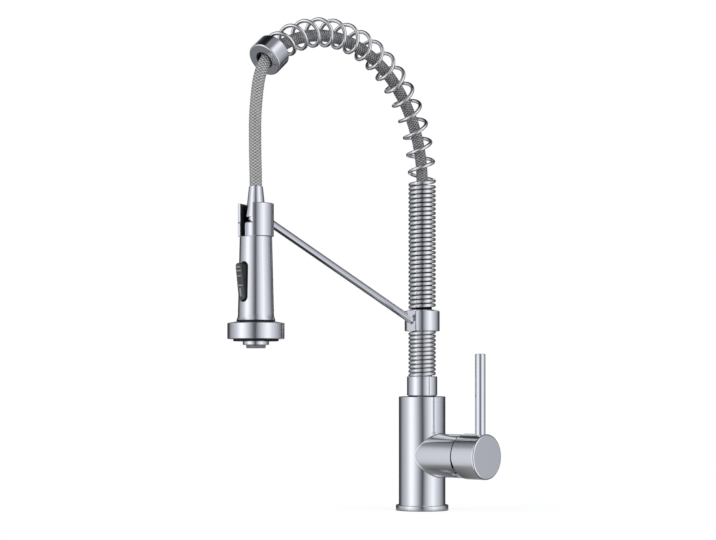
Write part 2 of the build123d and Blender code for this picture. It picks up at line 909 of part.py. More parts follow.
def port_seals():
    section = port_seal_height / 2 - SEAT / 2
    ring = Pos(0, 0, cartridge_seat + port_seal_height / 2) * Torus(port_seal_radius - section, section)
    return Compound([sideways(seal).solid() for seal in at_ports(ring)])


def ported_disc(radius, low, high):
    disc = rod(radius, low, high)
    for way in at_ports(rod(port_radius, low, high)):
        disc -= way
    return disc


def cartridge_base():
    return sideways(ported_disc(cartridge_radius, base_low, fixed_low))


def fixed_disc():
    return sideways(ported_disc(fixed_disc_radius, fixed_low, fixed_low + disc_thickness))


def moving_disc():
    """The upper ceramic disc, with a mixing pocket behind and a socket for the stem's ball."""
    disc = rod(moving_disc_radius, moving_low, moving_low + moving_disc_thickness)
    disc -= rod(stem_ball_radius + GAP, stem_ball_x - stem_ball_radius - GAP / 2, pivot_x)
    pocket = Pos(-port_circle / 2, 0, moving_low) * Box(port_circle / 2, 2 * port_radius, 1)
    return sideways(disc - pocket)


def cartridge_housing():
    return sideways(turned([
        (housing_bore, fixed_low), (cartridge_radius, fixed_low), (cartridge_radius, housing_end),
        (housing_mouth, housing_end), (housing_mouth, housing_end - housing_front_wall),
        (housing_bore, housing_end - housing_front_wall),
    ]))


def disc_carrier():
    radius = housing_bore - SLIP
    high = carrier_low + carrier_length
    block = rod(radius, carrier_low, high)
    slot = Box(carrier_slot_height, carrier_slot_width, 2 * carrier_length)
    block -= Pos(0, 0, (carrier_low + high) / 2) * slot
    block -= Pos(0, 0, pivot_x) * Rot(90, 0, 0) * Cylinder(stem_pin_radius + SEAT, 2 * radius)
    return sideways(block)


def stem_pin():
    return sideways(Pos(0, 0, pivot_x) * Rot(90, 0, 0) * Cylinder(stem_pin_radius, 2 * housing_bore - 4))


def valve_stem():
    ball = Pos(0, 0, stem_ball_x) * Sphere(stem_ball_radius)
    neck = rod(stem_neck_radius, stem_ball_x, pivot_x - stem_block_radius)
    block = rod(stem_block_radius, pivot_x - stem_block_radius, stem_block_end)
    shaft = rod(stem_radius, stem_block_end, stem_end)
    stem = ball + neck + block + shaft
    stem -= Pos(0, 0, pivot_x) * Rot(90, 0, 0) * Cylinder(stem_pin_radius + SLIP, 4 * stem_block_radius)
    return sideways(stem)


def cartridge_nut():
    ring = tube(cartridge_bore_radius - SEAT, nut_ring_bore, housing_end, housing_end + nut_ring_length)
    middle = (nut_ring_bore + cartridge_bore_radius) / 2
    notch = Pos(0, 0, housing_end + nut_ring_length) * Box(nut_ring_bore, nut_ring_notch, nut_ring_notch)
    for place in PolarLocations(middle, round(nut_ring_notches)):
        ring -= place * notch
    return sideways(ring)


# Handle

hub_low = stub_end + hub_seam


def handle_hub():
    """A turned cap on the stem, relieved below its axis so that it can tilt past the stub."""
    floor = hub_low + hub_hollow
    hub = turned([
        (hub_radius - hub_wall, hub_low), (hub_radius, hub_low), (hub_radius, hub_end),
        (0, hub_end), (0, stem_end + GAP), (stem_radius + SEAT, stem_end + GAP),
        (stem_radius + SEAT, floor), (hub_radius - hub_wall, floor),
    ])
    hub = fillet(rims(hub, hub_low, hub_radius), hub_rim_round)
    hub = sideways(fillet(rims(hub, hub_end, hub_radius), hub_round))
    depth = 2 * hub_radius
    wedge = Polyline([
        (hub_low - 1, -hub_radius, handle_height), (hub_low, -hub_radius, handle_height),
        (hub_low + depth * math.tan(math.radians(hub_relief)), -hub_radius, handle_height - depth),
        (hub_low - 1, -hub_radius, handle_height - depth),
    ], close=True)
    hub -= extrude(make_face(wedge), 4 * hub_radius, dir=(0, 1, 0)) \
        + extrude(make_face(wedge), 4 * hub_radius, dir=(0, -1, 0))
    hub -= rod(lever_radius + SEAT, lever_root - SEAT, lever_top, (lever_x, 0))
    return hub - rod(grub_radius + SEAT, handle_height - 2 * hub_radius, handle_height, (grub_x, 0))


def lever_rod():
    lever = rod(lever_radius, lever_root, lever_top, (lever_x, 0))
    return fillet(rims(lever, lever_top, lever_radius), lever_round)


def hub_grub_screw():
    top = handle_height - stem_radius - SEAT
    return Pos(grub_x, 0, top) * Rot(180, 0, 0) * socket_screw(grub_radius, grub_length)


PIECES = [
    base_flange, deck_gasket, mounting_shank, deck_washer, clamp_washer, mounting_nut, faucet_body,
    swivel_post, post_seals, swivel_washer, retaining_clip,
    port_seals, cartridge_base, fixed_disc, cartridge_housing, cartridge_nut,
    disc_carrier, stem_pin, moving_disc, valve_stem, handle_hub, lever_rod, hub_grub_screw,
    swivel_sleeve, hose_tail, riser_tube, riser_bush, lower_spring, arm_collar, collar_grub_screw,
    upper_spring, spring_end_cap, hose_guide, riser_hose, spray_hose,
    docking_arm, dock_ring, dock_liner,
    hose_connector, swivel_ring, spigot_seal,
    head_neck, head_shell, head_core, check_valve, flange_seal, spray_flange, spray_face,
    aerator_housing, aerator_insert, button_bezel, button_pin, rocker_button, diverter_spool,
]

os.makedirs("parts", exist_ok=True)
for piece in PIECES:
    export_step(piece(), f"parts/{piece.__name__}.step")
print(f"{len(PIECES)} pieces")
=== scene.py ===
# %% [markdown]
# # A kitchen faucet with a spring spout
#
# This notebook dresses a finished CAD model of a faucet in Blender. The CAD gives every hard piece
# at its real size. What is added here is what a CAD model doesn't carry: the plaited braid of the
# hoses, the moulded detail of the spray button, and the finish of each material.

# %% Load the model
import json
import math

import bmesh
import bpy
import numpy as np
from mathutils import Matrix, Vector


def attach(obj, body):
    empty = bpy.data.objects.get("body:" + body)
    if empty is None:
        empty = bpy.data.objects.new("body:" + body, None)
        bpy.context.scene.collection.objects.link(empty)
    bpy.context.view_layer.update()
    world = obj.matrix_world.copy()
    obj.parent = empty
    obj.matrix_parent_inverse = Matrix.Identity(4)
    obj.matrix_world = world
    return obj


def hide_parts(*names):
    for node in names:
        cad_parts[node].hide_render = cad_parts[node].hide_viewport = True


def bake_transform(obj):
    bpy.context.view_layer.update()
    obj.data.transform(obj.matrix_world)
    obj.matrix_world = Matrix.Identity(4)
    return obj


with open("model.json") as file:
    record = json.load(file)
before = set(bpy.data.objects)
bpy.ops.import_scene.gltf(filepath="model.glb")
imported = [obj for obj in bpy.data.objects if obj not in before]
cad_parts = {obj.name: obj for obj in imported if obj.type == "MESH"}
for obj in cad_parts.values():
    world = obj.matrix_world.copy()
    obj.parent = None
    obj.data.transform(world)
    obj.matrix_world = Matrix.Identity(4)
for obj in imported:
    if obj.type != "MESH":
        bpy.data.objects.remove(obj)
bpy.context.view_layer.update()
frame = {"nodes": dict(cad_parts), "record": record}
nodes = frame["nodes"]

MM = 0.001

# %% [markdown]
# ## The camera
#
# A catalogue photograph of a tall thin object is taken from far off with a long lens, so that its
# uprights stay parallel. The camera here is level and stands 1.9 m from the column. It is never
# tilted: the picture is shifted upwards in the lens instead, which is what an architect's lens does.

# %% Place the camera
FOCAL_LENGTH, SENSOR_WIDTH = 100.56, 36.0        # mm
PICTURE_WIDTH, PICTURE_SHIFT = 716, 105          # pixels
CAMERA_PLACE = (1.2311, -1.4484, 0.1283)         # m
CAMERA_TURN = 42.2                               # degrees

camera_data = bpy.data.cameras.new("long_lens")
camera_data.lens = FOCAL_LENGTH
camera_data.sensor_width = SENSOR_WIDTH
camera_data.shift_y = PICTURE_SHIFT / PICTURE_WIDTH
camera = bpy.data.objects.new("camera", camera_data)
bpy.context.scene.collection.objects.link(camera)
camera.location = CAMERA_PLACE
camera.rotation_euler = (math.radians(90), 0, math.radians(CAMERA_TURN))
bpy.context.scene.camera = camera
view_settings = bpy.context.scene.view_settings
view_settings.view_transform = "Standard"

# %% [markdown]
# ## Two helpers for node trees
#
# Colours are picked as sRGB hex values, as a paint chart gives them, but a shader works in linear
# light. One function turns the first into the second. Another adds a node, sets it and wires it, so
# that each material below reads as a list of what it is made of.

# %% Colour and node helpers
WHITE = (1, 1, 1, 1)


def linear(code):
    """The linear colour of an sRGB hex value, opaque."""
    channels = [int(code[start:start + 2], 16) / 255 for start in (1, 3, 5)]
    return [c / 12.92 if c <= 0.04045 else ((c + 0.055) / 1.055) ** 2.4 for c in channels] + [1.0]


def add(tree, kind, inputs=None, **settings):
    """Adds a node, with its settings, and gives each named input a value or another node's output."""
    node = tree.nodes.new(kind)
    for name, value in settings.items():
        setattr(node, name, value)
    for name, value in (inputs or {}).items():
        if isinstance(value, bpy.types.NodeSocket):
            tree.links.new(value, node.inputs[name])
        else:
            node.inputs[name].default_value = value
    return node


# %% [markdown]
# ## The light
#
# Chrome has almost no colour of its own. It shows what stands round it, so a studio photographs it
# inside a tent: two tall softboxes left and right of the camera, a dark gap between them where the
# camera looks in, grey walls beside the object, and black flags behind it that draw the dark edge
# down each side of a tube. At eye level those are upright bands, so a tube anywhere in the scene
# gets the same bright and dark stripes. Above and below eye level the gap closes, and the sheet
# hung behind the flags shows over them. Steeper still the walls end, and the tent is nearly dark.
#
# Each ring of the tent is one colour ramp round the compass. The world goes from ring to ring by
# how far a direction rises or falls.

# %% Build the light tent
CAMERA_HEADING = math.radians(-47.8)
# Degrees round from the camera's side of the faucet, with the picture's right counted as positive, and
# how bright the tent is there
EYE_LEVEL = [
    (-180, 0.035), (-140, 0.06), (-130, 0.15), (-120, 0.33), (-90, 0.59), (-80, 0.72), (-60, 1.14),
    (-50, 1.10), (-30, 0.69), (-10, 0.225), (0, 0.075), (10, 0.34), (30, 0.76), (50, 1.055), (60, 0.99),
    (70, 0.80), (90, 0.57), (120, 0.24), (130, 0.075), (180, 0.035),
]
RAISED = [
    (-180, 0.66), (-168, 0.62), (-154, 0.08), (-125, 0.25), (-100, 0.52), (-90, 0.54), (-60, 1.15),
    (-30, 0.66), (-8, 0.20), (0, 0.14), (8, 0.24), (30, 0.70), (55, 1.12), (90, 0.45), (125, 0.12),
    (154, 0.08), (168, 0.62), (180, 0.66),
]
STEEP = [
    (-180, 0.05), (-140, 0.05), (-122, 0.10), (-108, 0.22), (-90, 0.36), (-60, 1.05), (-30, 0.62),
    (0, 0.10), (30, 0.66), (55, 1.05), (75, 0.95), (95, 0.55), (125, 0.15), (180, 0.05),
]
# Degrees above or below eye level over which one ring fades into the next, and the last one dims
TO_RAISED, TO_STEEP, TO_DIM = (9, 19), (27, 39), (44, 66)
DIMMED = 0.24            # what is left of the steep ring overhead and underfoot
TOP_LEVEL = 1.2          # a ramp holds levels up to 1, and this is what its 1 stands for
BRIGHTEST = 1.24         # the light's strength where a ramp holds 1
COOL_SHADE = (0.04, 0.02, -0.03)     # what the tent's darks lose of red, green and blue
TENT_TINT = "#f8faff"
DIFFUSE_BOOST = 1.8      # brings a matt surface in the tent up to its own colour

world = bpy.data.worlds.new("light_tent")
bpy.context.scene.world = world
world.use_nodes = True
tree = world.node_tree
tree.nodes.clear()
direction = add(tree, "ShaderNodeTexCoord").outputs["Generated"]
facing = add(tree, "ShaderNodeVectorRotate", {"Vector": direction, "Angle": -CAMERA_HEADING},
             rotation_type="Z_AXIS")
axes = add(tree, "ShaderNodeSeparateXYZ", {0: facing.outputs[0]})
angle = add(tree, "ShaderNodeMath", {0: axes.outputs["Y"], 1: axes.outputs["X"]}, operation="ARCTAN2")
share = add(tree, "ShaderNodeMapRange", {0: angle.outputs[0], "From Min": -math.pi,
                                         "From Max": math.pi})


def tent_ring(stops):
    """A colour ramp round the compass, from (degrees, level) stops."""
    ramp = add(tree, "ShaderNodeValToRGB", {0: share.outputs[0]})
    elements = ramp.color_ramp.elements
    for number, (degrees, level) in enumerate(stops):
        position = (degrees + 180) / 360
        stop = elements[number] if number < 2 else elements.new(position)
        stop.position = position
        shade = level / TOP_LEVEL
        stop.color = [shade * (1 - COOL_SHADE[channel] * (1 - shade)) for channel in range(3)] + [1]
    return ramp.outputs["Color"]


rise = add(tree, "ShaderNodeMath", {0: axes.outputs["Z"]}, operation="ABSOLUTE")


def climb(angles, start=0.0, end=1.0):
    """A smooth step from one value to another, between two angles above or below eye level."""
    low, high = [math.sin(math.radians(degrees)) for degrees in angles]
    return add(tree, "ShaderNodeMapRange", {0: rise.outputs[0], "From Min": low, "From Max": high,
                                            "To Min": start, "To Max": end},
               interpolation_type="SMOOTHSTEP").outputs[0]


walls = add(tree, "ShaderNodeMix", {"Factor": climb(TO_RAISED), "A": tent_ring(EYE_LEVEL),
                                    "B": tent_ring(RAISED)}, data_type="RGBA")
walls = add(tree, "ShaderNodeMix", {"Factor": climb(TO_STEEP), "A": walls.outputs["Result"],
                                    "B": tent_ring(STEEP)}, data_type="RGBA")
walls = add(tree, "ShaderNodeVectorMath", {0: walls.outputs["Result"],
                                           "Scale": climb(TO_DIM, 1.0, DIMMED)}, operation="SCALE")
tinted = add(tree, "ShaderNodeMix", {"Factor": 1.0, "A": walls.outputs["Vector"],
                                     "B": linear(TENT_TINT)}, data_type="RGBA", blend_type="MULTIPLY")
rays = add(tree, "ShaderNodeLightPath")
boost = add(tree, "ShaderNodeMapRange", {0: rays.outputs["Is Diffuse Ray"], "To Min": BRIGHTEST,
                                         "To Max": BRIGHTEST * DIFFUSE_BOOST})
tent_light = add(tree, "ShaderNodeBackground", {"Color": tinted.outputs["Result"],
                                                "Strength": boost.outputs[0]})
backdrop = add(tree, "ShaderNodeBackground", {"Color": WHITE, "Strength": 1.0})
either = add(tree, "ShaderNodeMixShader", {0: rays.outputs["Is Camera Ray"], 1: tent_light.outputs[0],
                                           2: backdrop.outputs[0]})
add(tree, "ShaderNodeOutputWorld", {"Surface": either.outputs[0]})

# %% [markdown]
# ## The floor
#
# The faucet stands on a white table that runs out past the edge of the picture. The table keeps a
# faint shadow round the flange. Polished metal sees through it to the tent, because the bands of a
# studio tent go on down below the table's edge.

# %% Lay the floor
TABLE_SIZE = 7.0         # m
TABLE_GLOW = 0.84        # with the light that falls on it, this brings the laminate to paper white

bpy.ops.object.select_all(action="DESELECT")
bpy.ops.mesh.primitive_plane_add(size=TABLE_SIZE, location=(0, 0, 0))
floor = bpy.context.object
floor.name = "floor"
white_table = bpy.data.materials.new("white_laminate_table")
white_table.use_nodes = True
tree = white_table.node_tree
tree.nodes.clear()
rays = add(tree, "ShaderNodeLightPath")
paint = add(tree, "ShaderNodeBsdfDiffuse", {"Color": linear("#a0a0a0")})
glow = add(tree, "ShaderNodeEmission", {"Color": WHITE, "Strength": TABLE_GLOW})
lit = add(tree, "ShaderNodeAddShader", {0: paint.outputs[0], 1: glow.outputs[0]})
matt = add(tree, "ShaderNodeBsdfDiffuse", {"Color": linear("#e8e8e8")})
clear = add(tree, "ShaderNodeBsdfTransparent", {"Color": WHITE})
seen = add(tree, "ShaderNodeMixShader", {0: rays.outputs["Is Camera Ray"], 1: matt.outputs[0],
                                         2: lit.outputs[0]})
table = add(tree, "ShaderNodeMixShader", {0: rays.outputs["Is Glossy Ray"], 1: seen.outputs[0],
                                          2: clear.outputs[0]})
add(tree, "ShaderNodeOutputMaterial", {"Surface": table.outputs[0]})
floor.data.materials.append(white_table)

# %% [markdown]
# Polished metal would also see through the table to the nut and shank that are under it. A dim grey
# card just below the table's top hides them. It glows with painted shade, darker towards the faucet,
# as the table itself would be in the faucet's shade, and so keeps the underside of the handle dark.

# %% Lay a card of painted shade under the table
CARD_RADIUS, CARD_DEPTH = 60 * MM, 1 * MM
SHADE_RADIUS = 15 * MM
SHADE_LEVEL, CARD_LEVEL = 0.05, 0.30     # how bright the card is in the shade, and at its edge

bpy.ops.object.select_all(action="DESELECT")
bpy.ops.mesh.primitive_circle_add(vertices=64, radius=CARD_RADIUS, fill_type="NGON",
                                  location=(0, 0, -CARD_DEPTH))
card = bpy.context.object
card.name = "painted_shade_card"
painted_shade_card = bpy.data.materials.new("painted_shade_card")
painted_shade_card.use_nodes = True
tree = painted_shade_card.node_tree
tree.nodes.clear()
place = add(tree, "ShaderNodeTexCoord").outputs["Object"]
away = add(tree, "ShaderNodeVectorMath", {0: place}, operation="LENGTH")
level = add(tree, "ShaderNodeMapRange", {0: away.outputs["Value"], "From Min": SHADE_RADIUS,
                                         "From Max": CARD_RADIUS, "To Min": SHADE_LEVEL,
                                         "To Max": CARD_LEVEL})
# The card glows dimly: painted shade, darker towards the faucet, lit by no lamp.
dim = add(tree, "ShaderNodeEmission", {"Color": WHITE, "Strength": level.outputs[0]})
add(tree, "ShaderNodeOutputMaterial", {"Surface": dim.outputs[0]})
card.data.materials.append(painted_shade_card)

# %% [markdown]
# ## Metals
#
# The faucet is brass, turned and bored, then polished and plated with nickel and a very thin coat
# of chromium. Chromium is a bluish white metal. The polish isn't a mirror: felt wheels leave it
# slightly soft, so the bands that it reflects have blurred edges. Two layers of noise make that
# softness drift over the surface, a few centimetres wide for the polisher's pressure, and under a
# millimetre for the finest ripple left in the plate.

# %% Chrome plate
POLISHER_SIZE, RIPPLE_SIZE = 24, 0.8     # mm across, the two layers of noise
RIPPLE_DEPTH = 0.01 * MM


def new_finish(name):
    """An empty material with its principled shader, output and object coordinates."""
    finish = bpy.data.materials.new(name)
    finish.use_nodes = True
    tree = finish.node_tree
    tree.nodes.clear()
    shader = add(tree, "ShaderNodeBsdfPrincipled")
    add(tree, "ShaderNodeOutputMaterial", {"Surface": shader.outputs[0]})
    place = add(tree, "ShaderNodeTexCoord").outputs["Object"]
    return finish, tree, shader, place


def per_mm(size):
    """The scale of a pattern whose features are that many millimetres across."""
    return 1 / (size * MM)


def polished_metal(name, colour, rough_low, rough_high, ripple):
    """A metal whose polish drifts between two roughnesses, with a fine ripple in its surface."""
    finish, tree, shader, place = new_finish(name)
    drift = add(tree, "ShaderNodeTexNoise", {"Vector": place, "Scale": per_mm(POLISHER_SIZE),
                                             "Detail": 4.0})
    rough = add(tree, "ShaderNodeMapRange", {0: drift.outputs[0], "From Min": 0.3, "From Max": 0.7,
                                             "To Min": rough_low, "To Max": rough_high})
    grain = add(tree, "ShaderNodeTexNoise", {"Vector": place, "Scale": per_mm(RIPPLE_SIZE),
                                             "Detail": 2.0})
    bump = add(tree, "ShaderNodeBump", {"Height": grain.outputs[0], "Strength": ripple,
                                        "Distance": RIPPLE_DEPTH})
    tree.links.new(rough.outputs[0], shader.inputs["Roughness"])
    tree.links.new(bump.outputs[0], shader.inputs["Normal"])
    shader.inputs["Base Color"].default_value = linear(colour)
    shader.inputs["Metallic"].default_value = 1.0
    return finish


chrome_plate = polished_metal("chrome_plate_satin_polished", "#f1f2f5", 0.10, 0.15, 0.5)
spring_chrome = polished_metal("chrome_plated_spring_wire", "#f2f2f3", 0.07, 0.12, 0.5)

# %% [markdown]
# Inside are plain metals. Stainless steel is greyer than chrome, and a lathe leaves its screws and
# pins a little rougher. The tube inside the springs is steel blackened by a matt oxide coat, so that
# only dark shows between the turns. The shank, nut and swivel post are machined brass, which was never
# plated because nobody sees it: warm yellow, dulled unevenly by handling.

# %% Steel and brass
stainless = polished_metal("stainless_steel_turned", "#c9c9c8", 0.22, 0.32, 0.8)
black_oxide = polished_metal("steel_black_oxide", "#1b1b1d", 0.38, 0.5, 0.8)
brass = polished_metal("brass_machined", "#d8bb70", 0.24, 0.42, 0.8)

# %% [markdown]
# ## Rubbers, plastics and ceramic
#
# The rest is moulded. A mould leaves a fine even grain like orange peel, so each of these has a
# small bump of its own size: finer on hard acetal, coarser on soft silicone. The valve's two discs
# are alumina, lapped so flat that water can't pass between them, and so almost like glazed china.

# %% Moulded finishes
SHADE_SIZE = 9           # mm across, the drift of the colour
SHEEN_SPREAD = 0.07      # how far the roughness strays either way


def moulded(name, colour, shade, roughness, grain_size, depth):
    """A moulded surface: its colour drifts slightly to a second shade, with a fine even grain in mm."""
    finish, tree, shader, place = new_finish(name)
    drift = add(tree, "ShaderNodeTexNoise", {"Vector": place, "Scale": per_mm(SHADE_SIZE),
                                             "Detail": 3.0})
    tone = add(tree, "ShaderNodeMix", {"Factor": drift.outputs[0], "A": linear(colour),
                                       "B": linear(shade)}, data_type="RGBA")
    grain = add(tree, "ShaderNodeTexNoise", {"Vector": place, "Scale": per_mm(grain_size),
                                             "Detail": 3.0})
    rough = add(tree, "ShaderNodeMapRange", {0: grain.outputs[0], "To Min": roughness - SHEEN_SPREAD,
                                             "To Max": roughness + SHEEN_SPREAD})
    bump = add(tree, "ShaderNodeBump", {"Height": grain.outputs[0], "Strength": 0.6,
                                        "Distance": depth * MM})
    tree.links.new(tone.outputs["Result"], shader.inputs["Base Color"])
    tree.links.new(rough.outputs[0], shader.inputs["Roughness"])
    tree.links.new(bump.outputs[0], shader.inputs["Normal"])
    return finish


silicone = moulded("silicone_rubber_moulded", "#121214", "#1c1c1f", 0.62, 0.5, 0.03)
acetal = moulded("acetal_black_moulded", "#17171a", "#222226", 0.42, 0.35, 0.02)
elastomer = moulded("elastomer_grey_moulded", "#4d4c4a", "#595856", 0.5, 0.4, 0.02)
# A paler copy of the pad's grey, for the tops of the raised relief: a painted highlight.
rib_highlight_elastomer = moulded("elastomer_painted_rib_highlight", "#a09f9b", "#adaca8", 0.4, 0.4, 0.01)
grey_abs = moulded("abs_grey_moulded", "#8d8d90", "#9b9b9f", 0.48, 0.4, 0.02)
valve_polymer = moulded("acetal_white_moulded", "#dcdbd6", "#e8e7e2", 0.45, 0.4, 0.02)
alumina = moulded("alumina_lapped", "#efeee9", "#f6f5f1", 0.16, 0.2, 0.003)

# %% [markdown]
# ## The hoses' braid
#
# Both hoses are rubber tubes under a plaited sleeve. Eight flat strands run round it one way and
# eight the other, rather more round the hose than along it, and they pass over and under each other.
# The plait is real relief here, and what is left to the material is finer: the few filaments in each
# strand, painted shade that darkens the gaps between strands, and uneven specks of wear. Inside the
# spring the same braid gets darker colours, painted shade for the spring's shadow on it.
#
# The mesh carries two sets of numbers for it. A UV map gives each place its count of strands one
# way and the other, so filaments can follow their strand, and an attribute holds how high it lies.

# %% Braid finish
FILAMENTS = 4            # in each strand: the real ones have more, too fine to show
FILAMENT_DEPTH = 0.05 * MM
SPECK_SIZE = 1.5         # mm
GAP_UP_TO, CROWN_FROM = 0.42, 0.85       # heights in the plait, from 0 to 1


def braid_finish(name, gap, crown, wear):
    """A plait's finish, from the colour of its gaps, darkened as painted shade, to that of its strands'
    crowns.
    """
    finish, tree, shader, place = new_finish(name)
    height = add(tree, "ShaderNodeAttribute", attribute_name="plait_height")
    way = add(tree, "ShaderNodeAttribute", attribute_name="plait_way")
    strands = add(tree, "ShaderNodeUVMap", uv_map="strands")
    counts = add(tree, "ShaderNodeSeparateXYZ", {0: strands.outputs[0]})
    count = add(tree, "ShaderNodeMix", {"Factor": way.outputs["Fac"], "A": counts.outputs["Y"],
                                        "B": counts.outputs["X"]}, data_type="FLOAT")
    wave = add(tree, "ShaderNodeMath", {0: count.outputs[0], 1: FILAMENTS * 2 * math.pi},
               operation="MULTIPLY")
    filament = add(tree, "ShaderNodeMath", {0: wave.outputs[0]}, operation="COSINE")
    relief = add(tree, "ShaderNodeBump", {"Height": filament.outputs[0], "Strength": 0.5,
                                          "Distance": FILAMENT_DEPTH})
    # Low in the plait the colour falls to the gap's: painted shade between the strands.
    tone = add(tree, "ShaderNodeValToRGB", {0: height.outputs["Fac"]})
    low, high = tone.color_ramp.elements
    low.position, low.color = GAP_UP_TO, linear(gap)
    high.position, high.color = CROWN_FROM, linear(crown)
    specks = add(tree, "ShaderNodeTexNoise", {"Vector": place, "Scale": per_mm(SPECK_SIZE),
                                              "Detail": 1.0})
    worn = add(tree, "ShaderNodeMapRange", {0: specks.outputs[0], "From Min": 0.35, "From Max": 0.65,
                                            "To Min": 1 - wear, "To Max": 1 + wear / 2})
    speckled = add(tree, "ShaderNodeVectorMath", {0: tone.outputs["Color"], "Scale": worn.outputs[0]},
                   operation="SCALE")
    tree.links.new(speckled.outputs[0], shader.inputs["Base Color"])
    tree.links.new(relief.outputs[0], shader.inputs["Normal"])
    shader.inputs["Metallic"].default_value = 0.4
    shader.inputs["Roughness"].default_value = 0.5
    return finish


free_braid = braid_finish("hose_braid_grey_nylon_and_steel", "#6c6b6a", "#e6e4e1", 0.10)
# Darker colours for the same braid inside the spring: painted shade, the spring's shadow on the hose.
spring_shaded_braid = braid_finish("hose_braid_painted_shade_in_the_spring", "#302f30", "#cbc9c8", 0.30)

# %% [markdown]
# Each CAD node names the kind of stuff that it is made of, and gets the finish of that name.

# %% Dress the CAD pieces
FINISHES = {
    "polished_chrome": chrome_plate,
    "spring_wire": spring_chrome,
    "steel": stainless,
    "black_steel": black_oxide,
    "brass": brass,
    "rubber": silicone,
    "black_plastic": acetal,
    "grey_plastic": grey_abs,
    "valve_plastic": valve_polymer,
    "ceramic": alumina,
    "braided_hose": silicone,
}
for part in frame["record"]["subparts"]:
    piece = nodes[part["node"]]
    piece.data.materials.clear()
    piece.data.materials.append(FINISHES[part["material_slot"]])

# %% [markdown]
# ## The braided hoses
#
# A sleeve of small quads is laid round a line, and each of its points is pushed out by the height
# of the plait there. Both hoses stay in one upright plane, so "sideways" is always the same and the
# sleeve can't twist.

# %% A sleeve of plaited strands
STRANDS = 8
STRAND_WIDTH = 0.93          # of the room that each strand has
BRAID_RADIUS = 5.0 * MM      # to the bottom of the plait
BRAID_RELIEF = 0.5 * MM
STRAND_PITCH = 2.6 * MM      # from one strand to the next, along the hose


def plait(round_share, length):
    """Height (0 to 1) of the plait, and which way the upper strand runs, at places on the sleeve."""
    one = round_share * STRANDS + length / STRAND_PITCH
    other = round_share * STRANDS - length / STRAND_PITCH

    def crown(count):
        across = 2 * np.abs(count - np.floor(count) - 0.5)
        return np.sqrt(np.clip(1 - (across / STRAND_WIDTH) ** 2, 0, 1))

    lift_one = 0.62 + 0.38 * np.cos(math.pi * (other - 0.5 + np.floor(one)))
    lift_other = 0.62 - 0.38 * np.cos(math.pi * (one - 0.5 + np.floor(other)))
    first, second = crown(one) * lift_one, crown(other) * lift_other
    return np.maximum(first, second), (first > second).astype(float), one, other


def braided_sleeve(name, line, row, columns, finish):
    """A plaited tube round a line of points that lies in the plane x = 0."""
    line = np.array(line)
    steps = np.linalg.norm(np.diff(line, axis=0), axis=1)
    distance = np.concatenate([[0], np.cumsum(steps)])
    rows = round(distance[-1] / row) + 1
    wanted = np.linspace(0, distance[-1], rows)
    middle = np.stack([np.interp(wanted, distance, line[:, axis]) for axis in range(3)], axis=1)
    heading = np.gradient(middle, axis=0)
    heading /= np.linalg.norm(heading, axis=1)[:, None]
    side = np.array([1.0, 0.0, 0.0])
    outward = np.cross(heading, side)
    share, length = np.meshgrid(np.arange(columns) / columns, wanted)
    lift, way, _, _ = plait(share, length)
    turn = share * 2 * math.pi
    out = np.cos(turn)[..., None] * side + np.sin(turn)[..., None] * outward[:, None, :]
    points = middle[:, None, :] + out * (BRAID_RADIUS + BRAID_RELIEF * lift)[..., None]
    faces = []
    counts = []
    _, _, one, other = plait(*np.meshgrid(np.arange(columns + 1) / columns, wanted))
    for r in range(rows - 1):
        for c in range(columns):
            right = (c + 1) % columns
            faces.append((r * columns + c, (r + 1) * columns + c, (r + 1) * columns + right,
                          r * columns + right))
            counts += [(r, c), (r + 1, c), (r + 1, c + 1), (r, c + 1)]
    mesh = bpy.data.meshes.new(name)
    mesh.from_pydata([tuple(p) for p in points.reshape(-1, 3)], [], faces)
    uv = mesh.uv_layers.new(name="strands")
    at = np.array(counts)
    uv.data.foreach_set("uv", np.stack([one[at[:, 0], at[:, 1]], other[at[:, 0], at[:, 1]]], 1).ravel())
    mesh.attributes.new("plait_height", "FLOAT", "POINT").data.foreach_set("value", lift.ravel())
    mesh.attributes.new("plait_way", "FLOAT", "POINT").data.foreach_set("value", way.ravel())
    mesh.shade_smooth()
    sleeve = bpy.data.objects.new(name, mesh)
    bpy.context.scene.collection.objects.link(sleeve)
    sleeve.data.materials.append(finish)
    print(f"{name}: {distance[-1] / MM:.0f} mm long, {2 * len(faces)} triangles")
    return sleeve


# %% [markdown]
# The free hose comes out of the end cap, bends once and drops into its connector. Its route is a
# smooth curve steered by the fewest points that describe it, and the sleeve is laid round the line
# that Blender draws from them.

# %% The free hose


def smooth_line(name, points, resolution):
    """The points that Blender draws for a smooth curve over a route."""
    curve = bpy.data.curves.new(name, "CURVE")
    curve.dimensions = "3D"
    curve.resolution_u = resolution
    spline = curve.splines.new("NURBS")
    spline.points.add(len(points) - 1)
    for point, place in zip(spline.points, points):
        point.co = (*place, 1)
    spline.order_u = 3
    spline.use_endpoint_u = True
    drawn = bpy.data.objects.new(name, curve)
    bpy.context.scene.collection.objects.link(drawn)
    bpy.context.view_layer.update()
    mesh = bpy.data.meshes.new_from_object(drawn)
    line = [tuple(vertex.co) for vertex in mesh.vertices]
    bpy.data.objects.remove(drawn)
    bpy.data.meshes.remove(mesh)
    return line


HOSE_ROUTE = [
    (0, -0.199743, 0.412774),
    (0, -0.21627, 0.40077),
    (0, -0.2236, 0.3600),
    (0, -0.2236, 0.3250),
    (0, -0.2225, 0.2950),
    (0, -0.2225, 0.2731),
]
hose_line = smooth_line("hose_route", HOSE_ROUTE, 48)
free_hose = braided_sleeve("spray_hose_braid", hose_line, 0.4 * MM, 96, free_braid)
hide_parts("spray_hose")
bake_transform(free_hose)

# %% [markdown]
# The same hose comes up the column and goes over the arch inside the spring, where it shows between
# the open turns. The spring bends into a true part of a circle. The hose is heavy with water and
# lies against the inner side of the turns, lowest just past the top.

